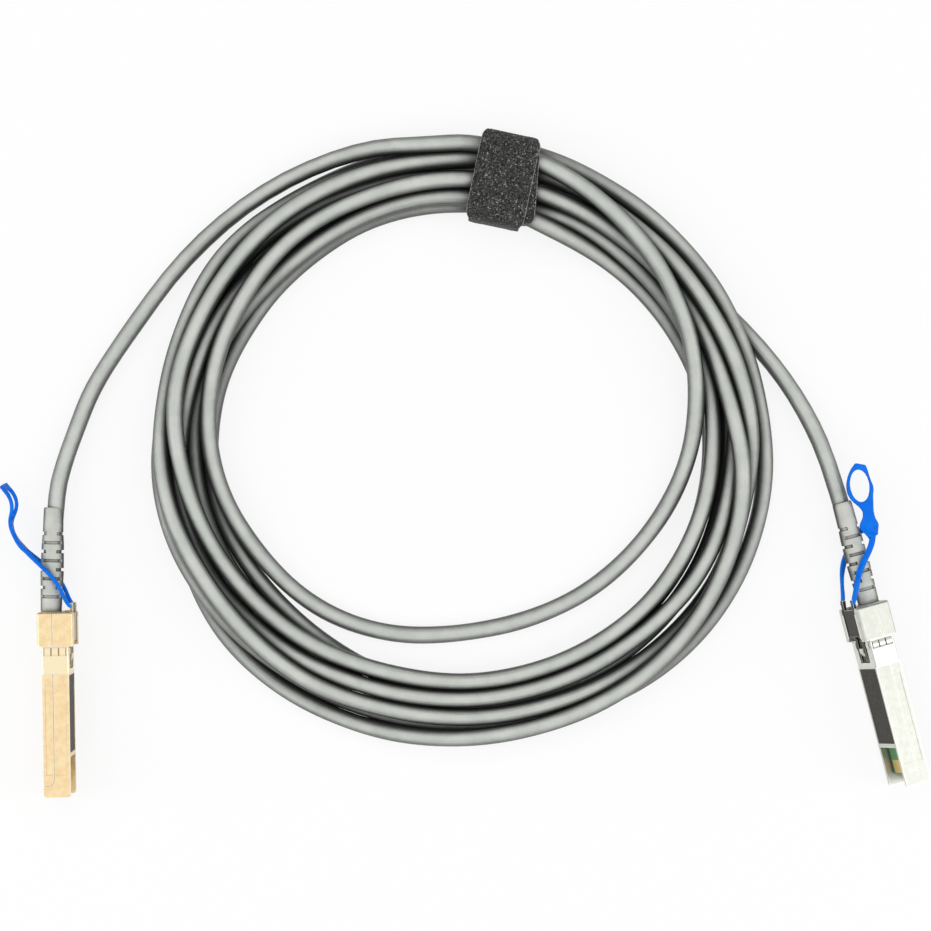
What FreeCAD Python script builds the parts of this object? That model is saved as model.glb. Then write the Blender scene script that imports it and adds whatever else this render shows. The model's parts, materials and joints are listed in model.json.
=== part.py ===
import FreeCAD, Part

# Direct attach copper cable: a coil of twinax cord, tied with a hook-and-loop strap, with a
# small form-factor plug on each end. Millimetres, +Z up, origin under the middle of the whole.
#
# Each plug is made in its own frame: +X runs from the back of its head to the mating end,
# +Y across its width, and +Z away from the latch. It is then laid down where it comes to rest.

import math
import os

V = FreeCAD.Vector

# ---------------------------------------------------------------- driving sizes: the plug
PLUG_LENGTH = 58.3        # back of the head to the mating end
HEAD_LENGTH = 10.8        # the part that stays outside the cage
HEAD_WIDTH = 14.2
HEAD_ABOVE = 5.6          # head's height above the plug's axis
HEAD_BELOW = 5.8          # and below it, on the latch side
HEAD_ROUND = 0.8
BODY_WIDTH = 13.5
BODY_HEIGHT = 8.5
BODY_ROUND = 0.5
END_ROUND = 0.9           # corners of the mating end, seen from the side
NOSE_LENGTH = 3.5         # one-piece rim round the mouth
NOSE_ROUND = 2.2          # rounding where the joint turns up to meet it
PART_LINE = 0.75          # height of the joint between the two shells
SEAM = 0.12               # visible gap along that joint
INNER_WIDTH = 11.3
ROOF_WALL = 0.85
FLOOR_WALL = 0.9
MOUTH_FLOOR_CUT = 12.7    # length of open floor under the card's contacts
SIDE_PANEL = (22.8, 51.3, 3.35, 0.15)    # from, to, half height, depth
FACE_PANEL = (23.0, 44.4, 5.9, 0.2)      # from, to, half width, depth, on the latch side
RUNNING = 0.2             # clearance round what slides
FIT = 0.05                # clearance round what is fixed

# latch
BOSS_START = 13.3         # boss's square shoulder, from the back of the head
BOSS_WIDTH = 2.6
BOSS_LENGTH = 2.6
BOSS_HEIGHT = 0.45
HEAD_CHANNEL = 9.6        # width of the slide's channel in the head
BODY_CHANNEL = 6.6        # and in the body
CHANNEL_ROOF = -2.1
CHANNEL_END = 18.6
SLIDE_THICK = 0.7
SLIDE_REAR = 0.6
FINGER_WIDTH = 1.4
FINGER_TIP = 17.4
FINGER_DROP = 1.0         # step from the plate up to the fingers
RAIL = 0.5
LUG_OUT = 2.6             # how far the slide's lugs stand out behind the head
LUG_WIDTH = 1.7
LUG_THICK = 1.3
SPRING_WIRE = 0.3         # square wire
SPRING_DIAMETER = 1.5
SPRING_TURNS = 5
SPRING_START = 3.2        # face of the shell's seat for the spring
SPRING_LENGTH = 4.4
SEAT_THICK = 0.8
RAIL_START = 2.0

# earthing collar
COLLAR_LENGTH = 8.8
COLLAR_THICK = 0.25
WINDOW_LENGTH = 2.6       # stretch with spring fingers, next to the head
WINDOW_START = 0.35
TAB_WIDTH = 1.9
TAB_BOW = 0.3             # how far a spring finger stands proud
SIDE_TABS = 3
TOP_TABS = 5

# card
CARD_THICK = 1.0
CARD_UNDER = 2.25         # body's underside to the card
CARD_START = 24.5
CARD_SET_BACK = 3.4       # card's edge behind the mating end
CARD_TONGUE = 9.2         # width of the edge that mates
TONGUE_LENGTH = 11.0
PAD_COUNT = 10            # on each face
PAD_PITCH = 0.8
PAD_WIDTH = 0.55
PAD_LENGTH = 4.2
PAD_THICK = 0.05
CHIP = (3.0, 3.0, 0.9)
CHIP_START = 36.0
WIRE_DIAMETER = 0.9

# cord, boot and ferrule
CORD_DIAMETER = 5.4
CORD_LENGTH_IN_BOOT = 27.0
BOOT_LENGTH = 32.8
BOOT_RISE = 1.9           # boot's axis above the plug's axis, at the head
BOOT_PROFILE = ((0.0, 3.3), (4.0, 3.4), (12.0, 3.65), (21.0, 3.5), (25.5, 3.2), (32.1, 3.1))
BOOT_MOUTH = 2.88         # radius at the very end
BOOT_ANCHOR = 2.8         # part held inside the head
ANCHOR_RADIUS = 2.9
SLOT_ROWS = 8
SLOT_FIRST = 4.2          # from the head
SLOT_PITCH = 2.84
SLOT_WIDTH = 1.05
SLOT_WEB = 3.2            # width of the bridge left between two slots
SLOT_FLOOR = 0.12         # rubber left under a slot
FERRULE_RADIUS = 3.0
FERRULE_BORE = 2.3
FERRULE_LENGTH = 4.6

# screws on the hidden face
SCREW_HEAD = 1.6
SCREW_SHANK = 0.7
SCREW_SPACING = 8.4
SCREW_FROM_BACK = 5.6

# ---------------------------------------------------------------- driving sizes: the pull tab
TAB_THICK = 1.2
LEG_WIDTH = 1.95
STEM_WIDTH = 3.6
FORK_WIDTH = 5.9
RING_WIDTH = 8.8
RING_HOLE = (5.1, 3.2)    # half length and half width
LEG_GRIP = 1.4            # how far a leg reaches over its lug

# ---------------------------------------------------------------- driving sizes: the coil
COIL_CENTRE = V(-0.1, 7.1, 0)
COIL_HEIGHT = 15.2
COIL_EDGE = 1.6
OUTER_RADII = (98.0, 96.7, 95.3, 94.6, 93.8, 95.0, 94.2, 94.7, 97.4, 98.4, 99.0, 97.6, 99.5,
               98.2, 96.5, 96.3, 98.4, 99.3)
INNER_RADII = (76.1, 74.0, 72.9, 72.8, 72.9, 72.6, 73.3, 76.1, 78.2, 77.9, 76.5, 75.9, 75.4,
               74.2, 74.2, 75.2, 76.1, 76.3)
LOOSE_TURN = ((192, 82), (284, 60.2), (16, 80))        # innermost turn: degrees, radius
LOOSE_RISE = 2.8

STRAP_WIDTH = 18.2
STRAP_THICK = 1.2
STRAP_INSIDE = (70.8, 95.2)     # radii that it runs round
STRAP_ROUND = 2.0         # inside the first layer
STRAP_LAYERS = ((80.2, 85.3), (81.3, 78.1))    # each layer's place and direction, in degrees

# ---------------------------------------------------------------- where things lie
# Each plug's place, heading and roll, and the degrees that its boot leans to the latch side.
LEFT_PLUG = (V(-128.4, -47.0, HEAD_WIDTH / 2), -89.1, 0.0, 2.3)
RIGHT_PLUG = (V(126.3, -44.8, 8.46), -75.4, -17.5, 0.5)

# The tails' routes between the boot and the coil.
LEFT_ROUTE = (V(-121.4, 12.6, 3.7), V(-108.3, 38.5, 2.7), V(-88.5, 65.8, 2.7),
              V(-63.1, 87.0, 3.3), V(-33.3, 99.3, 7.6), V(-8.9, 100.4, 10.4))
RIGHT_ROUTE = (V(108.6, 16.9, 3.6), V(95.1, 36.0, 2.7), V(70.2, 60.6, 2.7))
OUT_OF_BOOT = 9.0         # straight length between the boot and the first bend


# ---------------------------------------------------------------- helpers
def block(x0, x1, y0, y1, z0, z1):
    """A box between two corners."""
    return Part.makeBox(x1 - x0, y1 - y0, z1 - z0, V(x0, y0, z0))


def across(x0, x1, half, z0, z1):
    """A box that lies evenly each side of the plug's middle."""
    return block(x0, x1, -half, half, z0, z1)


def fused(shapes):
    """One solid from several that touch or overlap."""
    whole = shapes[0]
    if len(shapes) > 1:
        whole = whole.multiFuse(shapes[1:])
    return whole.removeSplitter()


def edges_where(shape, test):
    """The edges of a shape whose middle and direction pass a test."""
    found = []
    for edge in shape.Edges:
        run = edge.lastVertex().Point - edge.firstVertex().Point
        if run.Length > 0 and test(edge.CenterOfMass, run.normalize()):
            found.append(edge)
    return found


def prism(outline, width):
    """A side outline in X and Z, given its width evenly each side of Y = 0."""
    points = [V(x, -width / 2, z) for x, z in outline]
    face = Part.Face(Part.makePolygon(points + points[:1]))
    return face.extrude(V(0, width, 0))


def run_and_arc_path(points):
    """Straight runs joined by arcs as large as the runs allow, and the arcs' radii."""
    edges, radii, start = [], [], points[0]
    for before, corner, after in zip(points, points[1:], points[2:]):
        a, b = before - corner, after - corner
        back = 0.45 * min(a.Length, b.Length)
        a.normalize()
        b.normalize()
        half_turn = (math.pi - a.getAngle(b)) / 2
        radius = back / math.tan(half_turn)
        first, last = corner + a * back, corner + b * back
        to_middle = (a + b).normalize()
        middle = corner + to_middle * (radius / math.cos(half_turn) - radius)
        edges.append(Part.LineSegment(start, first).toShape())
        edges.append(Part.Arc(first, middle, last).toShape())
        radii.append(radius)
        start = last
    edges.append(Part.LineSegment(start, points[-1]).toShape())
    return Part.Wire(edges), radii


def tube(points, diameter, name=""):
    """A round cord along a route of runs and arcs."""
    path, radii = run_and_arc_path(points)
    start = V(points[1]) - points[0]
    ring = Part.Wire(Part.Circle(points[0], start, diameter / 2).toShape())
    solid = path.makePipeShell([ring], True, False)
    if name:
        section = math.pi * diameter ** 2 / 4
        print(f"{name}: length {path.Length:.1f}, radii {[round(r) for r in radii]}, "
              f"volume share {solid.Volume / (section * path.Length):.4f}")
    return solid


def ribbon(stations, thickness):
    """A flexible strip: each station is its middle, the direction of its width, and its width."""
    middles = [s[0] for s in stations]
    sections = []
    for i, (middle, side, width) in enumerate(stations):
        along = middles[min(i + 1, len(middles) - 1)] - middles[max(i - 1, 0)]
        face_way = along.cross(side).normalize()
        side = face_way.cross(along).normalize()
        w, t = side * (width / 2), face_way * (thickness / 2)
        corners = [middle - w - t, middle + w - t, middle + w + t, middle - w + t]
        sections.append(Part.makePolygon(corners + corners[:1]))
    return Part.makeLoft(sections, True, False)


def placement(place, heading, roll):
    """A plug's own frame, laid down: its place, the way that it points and its roll."""
    # at no roll the latch side faces the middle of the coil, so the width stands upright
    turn = FreeCAD.Rotation(V(0, 0, 1), heading)
    forward = turn.multVec(V(1, 0, 0))
    sideways = turn.multVec(V(0, 1 if place.x < 0 else -1, 0))
    tilt = math.radians(-roll)
    up = sideways * -math.cos(tilt) - V(0, 0, 1) * math.sin(tilt)
    width = up.cross(forward)
    return FreeCAD.Placement(FreeCAD.Matrix(forward.x, width.x, up.x, place.x,
                                            forward.y, width.y, up.y, place.y,
                                            forward.z, width.z, up.z, place.z, 0, 0, 0, 1))


# ---------------------------------------------------------------- the two shells
def plug_blank():
    """The plug's outside: a head, and a body that enters the cage."""
    head = across(0, HEAD_LENGTH, HEAD_WIDTH / 2, -HEAD_BELOW, HEAD_ABOVE)
    head = head.makeFillet(HEAD_ROUND, edges_where(head, lambda c, d: abs(d.x) > 0.9 or c.x < 0.01))
    body = across(HEAD_LENGTH - 1, PLUG_LENGTH, BODY_WIDTH / 2, -BODY_HEIGHT / 2, BODY_HEIGHT / 2)
    ends = edges_where(body, lambda c, d: abs(d.y) > 0.9 and c.x > PLUG_LENGTH - 0.01)
    body = body.makeFillet(END_ROUND, ends)
    recess_end = HEAD_LENGTH + COLLAR_LENGTH
    band = across(HEAD_LENGTH, recess_end, BODY_WIDTH, -BODY_HEIGHT, BODY_HEIGHT)
    core = across(HEAD_LENGTH, recess_end, BODY_WIDTH / 2 - COLLAR_THICK - FIT,
                  -BODY_HEIGHT / 2 + COLLAR_THICK + FIT, BODY_HEIGHT / 2 - COLLAR_THICK - FIT)
    body = body.cut(band.cut(core))
    x0, x1, half, depth = SIDE_PANEL
    for side in (-1, 1):
        face = side * BODY_WIDTH / 2
        body = body.cut(block(x0, x1, min(face, face - side * depth),
                              max(face, face - side * depth), -half, half))
    x0, x1, half, depth = FACE_PANEL
    body = body.cut(across(x0, x1, half, -BODY_HEIGHT, -BODY_HEIGHT / 2 + depth))
    return head.fuse(body).removeSplitter()


def hollows():
    """Everything inside the shells: card bay, wire bay and the cord's bore."""
    ceiling = BODY_HEIGHT / 2 - ROOF_WALL
    bay = across(CARD_START - 1, PLUG_LENGTH + 1, INNER_WIDTH / 2,
                 -BODY_HEIGHT / 2 + FLOOR_WALL, ceiling)
    wires = across(BOOT_ANCHOR + FERRULE_LENGTH, CARD_START, INNER_WIDTH / 2,
                   CHANNEL_ROOF + FLOOR_WALL, ceiling)
    bore = Part.makeCylinder(FERRULE_RADIUS + FIT, BOOT_ANCHOR + FERRULE_LENGTH + 1.5,
                             V(-0.5, 0, BOOT_RISE), V(1, 0, 0))
    return bay.fuse(wires).fuse(bore)


def latch_channels():
    """The channel of the slide, through the head and into the body."""
    head = across(-1, HEAD_LENGTH, HEAD_CHANNEL / 2, -HEAD_BELOW - 1, CHANNEL_ROOF)
    body = across(HEAD_LENGTH - 1, CHANNEL_END, BODY_CHANNEL / 2, -BODY_HEIGHT, CHANNEL_ROOF)
    return head.fuse(body)


def slide_plate_levels():
    """Lower and upper face of the slide's plate."""
    lower = -HEAD_BELOW + RAIL - RUNNING
    return lower, lower + SLIDE_THICK


def latch_boss():
    """Boss that the cage's tongue drops behind: a square shoulder and a lead-in ramp."""
    underside = -BODY_HEIGHT / 2
    tip = underside - BOSS_HEIGHT
    end = BOSS_START + BOSS_LENGTH
    outline = [(BOSS_START, CHANNEL_ROOF + 0.1), (BOSS_START, tip),
               (BOSS_START + BOSS_LENGTH * 0.45, tip), (end, underside + 0.2),
               (end, CHANNEL_ROOF + 0.1)]
    return prism(outline, BOSS_WIDTH)


def rails():
    """Ledges above and below the edges of the slide's plate, and the spring's seat."""
    lower, upper = slide_plate_levels()
    parts = []
    for side in (-1, 1):
        inner, outer = HEAD_CHANNEL / 2 - RAIL, HEAD_CHANNEL / 2 + 0.2
        y0, y1 = sorted((side * inner, side * outer))
        end = HEAD_LENGTH - 1
        parts.append(block(RAIL_START, end, y0, y1, upper + RUNNING, upper + RUNNING + RAIL))
        parts.append(block(RAIL_START, end, y0, y1, -HEAD_BELOW, lower - RUNNING / 2))
    seat = across(SPRING_START - SEAT_THICK, SPRING_START, SPRING_DIAMETER * 0.6,
                  upper + RUNNING, CHANNEL_ROOF + 0.1)
    return parts + [seat]


def card_ledges():
    """Two ledges that the card lies on."""
    floor, under = -BODY_HEIGHT / 2 + FLOOR_WALL, -BODY_HEIGHT / 2 + CARD_UNDER
    return [block(CARD_START + 3, PLUG_LENGTH - TONGUE_LENGTH - 4, y0, y1, floor - 0.1, under)
            for y0, y1 in ((-INNER_WIDTH / 2 - 0.1, -INNER_WIDTH / 2 + 1.0),
                           (INNER_WIDTH / 2 - 1.0, INNER_WIDTH / 2 + 0.1))]


def screw_places():
    """Middles of the two screws."""
    return [V(SCREW_FROM_BACK, side * SCREW_SPACING / 2, HEAD_ABOVE) for side in (-1, 1)]


def lid_space(end, low):
    """Everything above the joint, as far as the rim of the mouth, with its rounded corner."""
    space = across(-1, end, HEAD_WIDTH, low, HEAD_ABOVE + 1)
    return space.makeFillet(NOSE_ROUND, edges_where(
        space, lambda c, d: abs(d.y) > 0.9 and c.x > end - 0.01 and c.z < low + 0.01))


def bottom_shell():
    """Half with the latch, the floor, the lower walls and the one-piece rim of the mouth."""
    above = lid_space(PLUG_LENGTH - NOSE_LENGTH, PART_LINE)
    floor_cut = across(PLUG_LENGTH - MOUTH_FLOOR_CUT, PLUG_LENGTH + 1, INNER_WIDTH / 2,
                       -BODY_HEIGHT, 0)
    shell = plug_blank().cut(above).cut(hollows()).cut(latch_channels()).cut(floor_cut)
    shell = fused([shell, latch_boss()] + rails() + card_ledges())
    for place in screw_places():
        shell = shell.cut(Part.makeCylinder(SCREW_SHANK, HEAD_ABOVE - PART_LINE + 1.6,
                                            place, V(0, 0, -1)))
    return shell


def top_shell():
    """Lid: the roof and the upper walls, with the screws' countersinks."""
    keep = lid_space(PLUG_LENGTH - NOSE_LENGTH - SEAM, PART_LINE + SEAM)
    shell = plug_blank().common(keep).cut(hollows())
    for place in screw_places():
        sink = Part.makeCone(SCREW_HEAD + FIT, SCREW_SHANK + FIT, SCREW_HEAD - SCREW_SHANK,
                             place + V(0, 0, 0.01), V(0, 0, -1))
        shank = Part.makeCylinder(SCREW_SHANK + FIT, HEAD_ABOVE, place, V(0, 0, -1))
        shell = shell.cut(sink).cut(shank)
    return shell


def housing_screws():
    """Two countersunk screws that hold the shells together."""
    screws = []
    for place in screw_places():
        head = Part.makeCone(SCREW_HEAD, SCREW_SHANK, SCREW_HEAD - SCREW_SHANK, place, V(0, 0, -1))
        shank = Part.makeCylinder(SCREW_SHANK, HEAD_ABOVE - PART_LINE + 1.3, place, V(0, 0, -1))
        slot = across(-SCREW_HEAD, SCREW_HEAD, 0.2, -0.35, 0.1).translated(place)
        screws.append(head.fuse(shank).cut(slot).removeSplitter())
    return Part.makeCompound(screws)


# ---------------------------------------------------------------- earthing collar
def spring_tab(length):
    """One bowed finger, from the collar's band back to the head; it stands on Z = 0."""
    t = COLLAR_THICK * 0.6
    outer = Part.Arc(V(0, 0, t), V(length / 2, 0, t + TAB_BOW), V(length, 0, t)).toShape()
    inner = Part.Arc(V(length, 0, 0), V(length / 2, 0, TAB_BOW), V(0, 0, 0)).toShape()
    ends = [Part.LineSegment(V(length, 0, t), V(length, 0, 0)).toShape(),
            Part.LineSegment(V(0, 0, 0), V(0, 0, t)).toShape()]
    face = Part.Face(Part.Wire([outer, ends[0], inner, ends[1]]))
    return face.extrude(V(0, TAB_WIDTH, 0)).translated(V(0, -TAB_WIDTH / 2, 0))


def emi_collar():
    """Sheet-metal sleeve with a row of spring fingers on each face."""
    x0, x1 = HEAD_LENGTH + FIT, HEAD_LENGTH + COLLAR_LENGTH - FIT
    w, h = BODY_WIDTH / 2, BODY_HEIGHT / 2
    sleeve = across(x0, x1, w, -h, h)
    sleeve = sleeve.makeFillet(BODY_ROUND, edges_where(sleeve, lambda c, d: abs(d.x) > 0.9))
    sleeve = sleeve.cut(across(x0 - 1, x1 + 1, w - COLLAR_THICK, -h + COLLAR_THICK, h - COLLAR_THICK))
    a, b = x0 + WINDOW_START, x0 + WINDOW_START + WINDOW_LENGTH
    rim_w, rim_h = w - 0.9, h - 0.7
    sleeve = sleeve.cut(across(a, b, rim_w, -h - 1, h + 1))
    sleeve = sleeve.cut(across(a, b, w + 1, -rim_h, rim_h))
    # window round the latch
    latch_half = BODY_CHANNEL / 2 + RUNNING / 2
    sleeve = sleeve.cut(across(x0 - 1, CHANNEL_END - 0.6, latch_half, -h - 1, 0))
    tabs = []
    tab = spring_tab(WINDOW_LENGTH + 0.4)
    lift = h - COLLAR_THICK
    pitch = 2 * rim_w / TOP_TABS
    for i in range(TOP_TABS):
        y = (i - (TOP_TABS - 1) / 2) * pitch
        tabs.append(tab.translated(V(a - 0.2, y, lift)))
        if abs(y) > latch_half + TAB_WIDTH / 2:
            under = tab.rotated(V(0, 0, 0), V(1, 0, 0), 180)
            tabs.append(under.translated(V(a - 0.2, y, -lift)))
    pitch = 2 * rim_h / SIDE_TABS
    for i in range(SIDE_TABS):
        z = (i - (SIDE_TABS - 1) / 2) * pitch
        for side in (-1, 1):
            turned = tab.rotated(V(0, 0, 0), V(1, 0, 0), -90 * side)
            tabs.append(turned.translated(V(a - 0.2, side * (w - COLLAR_THICK), z)))
    return fused([sleeve] + tabs)


# ---------------------------------------------------------------- inside the plug
def card_levels():
    """Lower and upper face of the card."""
    under = -BODY_HEIGHT / 2 + CARD_UNDER
    return under, under + CARD_THICK


def paddle_card():
    """Circuit card, narrowed at the edge that mates."""
    under, over = card_levels()
    edge = PLUG_LENGTH - CARD_SET_BACK
    wide = across(CARD_START, edge - TONGUE_LENGTH, INNER_WIDTH / 2 - FIT, under, over)
    tongue = across(edge - TONGUE_LENGTH - 1, edge, CARD_TONGUE / 2, under, over)
    lead_in = edges_where(tongue, lambda c, d: abs(d.y) > 0.9 and c.x > edge - 0.01)
    return wide.fuse(tongue.makeChamfer(0.3, lead_in)).removeSplitter()


def gold_fingers():
    """Contact pads in two rows, one on each face of the card."""
    under, over = card_levels()
    end = PLUG_LENGTH - CARD_SET_BACK - 0.5
    pads = []
    for i in range(PAD_COUNT):
        y = (i - (PAD_COUNT - 1) / 2) * PAD_PITCH
        for z in (over, under - PAD_THICK):
            pads.append(block(end - PAD_LENGTH, end, y - PAD_WIDTH / 2, y + PAD_WIDTH / 2,
                              z, z + PAD_THICK))
    return Part.makeCompound(pads)


def memory_chip():
    """Small memory that tells the host what is plugged in."""
    length, width, height = CHIP
    over = card_levels()[1]
    return across(CHIP_START, CHIP_START + length, width / 2, over, over + height)


def wire_pairs():
    """Two insulated pairs from the ferrule to the card."""
    over = card_levels()[1] + WIRE_DIAMETER / 2
    start = BOOT_ANCHOR + FERRULE_LENGTH + FIT
    wires = []
    for near, far in ((-1.5, -3.9), (-0.5, -2.9), (0.5, 2.9), (1.5, 3.9)):
        points = [V(start, near, BOOT_RISE), V(start + 5.5, near, BOOT_RISE),
                  V(CARD_START - 3.0, far, over), V(CARD_START + 2.5, far, over)]
        wires.append(tube(points, WIRE_DIAMETER))
    return Part.makeCompound(wires)


def crimp_ferrule():
    """Sleeve crimped on the cord's braid, behind the boot's anchor."""
    outer = Part.makeCylinder(FERRULE_RADIUS, FERRULE_LENGTH, V(BOOT_ANCHOR, 0, BOOT_RISE), V(1, 0, 0))
    inner = Part.makeCylinder(FERRULE_BORE, FERRULE_LENGTH - 1,
                              V(BOOT_ANCHOR, 0, BOOT_RISE), V(1, 0, 0))
    return outer.cut(inner)


# ---------------------------------------------------------------- latch slide and its spring
def latch_slide():
    """Plate in the head's channel, two wedge fingers beside the boss, and two lugs for the tab."""
    lower, upper = slide_plate_levels()
    finger_low = lower + FINGER_DROP
    inner = BOSS_WIDTH / 2 + RUNNING + 0.05
    plate_end = HEAD_LENGTH - 1.6
    parts = [across(SLIDE_REAR, plate_end, HEAD_CHANNEL / 2 - RUNNING, lower, upper)]
    tip = -BODY_HEIGHT / 2 - BOSS_HEIGHT * 0.4
    outline = [(plate_end - 1.2, lower), (plate_end, lower), (plate_end + 1.0, finger_low),
               (FINGER_TIP - 2.2, finger_low), (FINGER_TIP - 0.5, tip), (FINGER_TIP, tip),
               (FINGER_TIP, finger_low + SLIDE_THICK), (plate_end - 0.4, finger_low + SLIDE_THICK),
               (plate_end - 1.2, upper)]
    finger = prism(outline, FINGER_WIDTH)
    lug = prism([(SLIDE_REAR + 0.2, lower), (SLIDE_REAR + 0.2, upper),
                 (-LUG_OUT, upper + LUG_THICK - SLIDE_THICK), (-LUG_OUT, lower)], LUG_WIDTH)
    for side in (-1, 1):
        parts.append(finger.translated(V(0, side * (inner + FINGER_WIDTH / 2), 0)))
        parts.append(lug.translated(V(0, side * lug_offset(), 0)))
    stop = SPRING_START + SPRING_LENGTH
    parts.append(across(stop, stop + SEAT_THICK * 0.8, SPRING_DIAMETER * 0.6,
                        upper - 0.1, CHANNEL_ROOF - RUNNING))
    return fused(parts)


def lug_offset():
    """Distance of a lug from the plug's middle."""
    return HEAD_CHANNEL / 2 - RUNNING - LUG_WIDTH / 2


def return_spring():
    """Coil spring that pushes the slide home."""
    upper = slide_plate_levels()[1]
    height = (upper + CHANNEL_ROOF) / 2
    radius = (SPRING_DIAMETER - SPRING_WIRE) / 2
    rise = SPRING_LENGTH - SPRING_WIRE - 2 * FIT
    helix = Part.makeHelix(rise / SPRING_TURNS, rise, radius)
    w = SPRING_WIRE / 2
    corners = [V(radius - w, 0, -w), V(radius + w, 0, -w), V(radius + w, 0, w), V(radius - w, 0, w)]
    coil = Part.Wire(helix).makePipeShell([Part.makePolygon(corners + corners[:1])], True, True)
    coil.rotate(V(0, 0, 0), V(0, 1, 0), 90)
    return coil.translated(V(SPRING_START + FIT + SPRING_WIRE / 2, 0, height))


# ---------------------------------------------------------------- boot
def boot_direction(lean):
    """The way that the boot runs out of the head."""
    return V(-math.cos(math.radians(lean)), 0, -math.sin(math.radians(lean)))


def boot(lean):
    """Moulded strain relief: a round sleeve with rows of slots, turned a quarter row by row."""
    outline = [V(0, 0, 0)] + [V(x, 0, r) for x, r in BOOT_PROFILE]
    outline += [V(BOOT_LENGTH, 0, BOOT_MOUTH), V(BOOT_LENGTH, 0, 0)]
    sleeve = Part.Face(Part.makePolygon(outline + outline[:1])).revolve(V(0, 0, 0), V(1, 0, 0), 360)
    sleeve = sleeve.cut(Part.makeCylinder(CORD_DIAMETER / 2, BOOT_LENGTH,
                                          V(BOOT_LENGTH - CORD_LENGTH_IN_BOOT, 0, 0), V(1, 0, 0)))
    reach = 2 * max(r for x, r in BOOT_PROFILE)
    for row in range(SLOT_ROWS):
        x0 = SLOT_FIRST + row * SLOT_PITCH
        keep = Part.makeCylinder(CORD_DIAMETER / 2 + SLOT_FLOOR, SLOT_WIDTH, V(x0, 0, 0), V(1, 0, 0))
        for side in (-1, 1):
            y0, y1 = sorted((side * SLOT_WEB / 2, side * reach))
            cut = block(x0, x0 + SLOT_WIDTH, y0, y1, -reach, reach).cut(keep)
            if row % 2:
                cut.rotate(V(0, 0, 0), V(1, 0, 0), 90)
            sleeve = sleeve.cut(cut)
    sleeve.rotate(V(0, 0, 0), V(0, 1, 0), 180 - lean)
    sleeve.translate(V(0, 0, BOOT_RISE))
    sleeve = sleeve.cut(across(0, 4, HEAD_WIDTH, -HEAD_BELOW, HEAD_ABOVE))
    anchor = Part.makeCylinder(ANCHOR_RADIUS, BOOT_ANCHOR + 0.3, V(-0.3, 0, BOOT_RISE), V(1, 0, 0))
    return sleeve.fuse(anchor).removeSplitter()


# ---------------------------------------------------------------- pull tabs
def tab_from(legs, strap, hole_at, hole_way, hole_along):
    """Pull tab: two legs, a blade and stem that widen to a finger ring, and the ring's hole."""
    body = fused([ribbon(strap, TAB_THICK)] + [ribbon(leg, TAB_THICK) for leg in legs])
    long_half, wide_half = RING_HOLE
    reach = RING_WIDTH
    ellipse = Part.Ellipse(V(0, 0, -reach), long_half, wide_half).toShape()
    cutter = Part.Face(Part.Wire(ellipse)).extrude(V(0, 0, 2 * reach))
    x = V(hole_along)
    z = V(hole_way).normalize()
    y = z.cross(x).normalize()
    x = y.cross(z)
    cutter.Placement = FreeCAD.Placement(FreeCAD.Matrix(
        x.x, y.x, z.x, hole_at.x, x.y, y.y, z.y, hole_at.y, x.z, y.z, z.z, hole_at.z, 0, 0, 0, 1))
    return body.cut(cutter).removeSplitter()


def left_tab():
    """Tab that stands on edge beside the boot, in the plug's own frame."""
    rear = -LUG_OUT + LEG_GRIP
    lower = slide_plate_levels()[0]
    out, y = lug_offset(), V(0, 1, 0)
    legs = []
    for s in (-1, 1):
        side = V(0, s, 0)
        legs.append([(V(rear, s * out, lower + 0.2), side, LEG_WIDTH),
                     (V(-4.4, s * 4.6, -2.9), side, LEG_WIDTH),
                     (V(-8.3, s * 5.0, -1.1), side, LEG_WIDTH),
                     (V(-11.4, s * 5.0, 1.2), side, LEG_WIDTH),
                     (V(-15.5, s * 4.3, 5.4), side, LEG_WIDTH),
                     (V(-18.2, s * 2.7, 8.4), side, LEG_WIDTH),
                     (V(-20.8, s * 1.7, 11.0), side, LEG_WIDTH)])
    strap = [(V(-19.2, 0, 9.5), y, FORK_WIDTH), (V(-22.4, 0, 12.2), y, 5.2),
             (V(-25.4, 0, 13.7), y, STEM_WIDTH), (V(-28.4, 0, 14.2), y, 5.4),
             (V(-30.8, 0, 13.6), y, 8.0), (V(-33.6, 0, 13.1), V(0, 1, 0.05), RING_WIDTH),
             (V(-36.3, 0, 13.7), V(0, 1, 0.1), 8.6), (V(-38.6, 0, 15.2), V(0, 1, 0.2), 7.0),
             (V(-40.3, 0, 16.6), V(0, 1, 0.4), 5.0)]
    return tab_from(legs, strap, V(-34.0, 0, 13.4), V(0, 0, 1), V(1, 0, 0))


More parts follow.
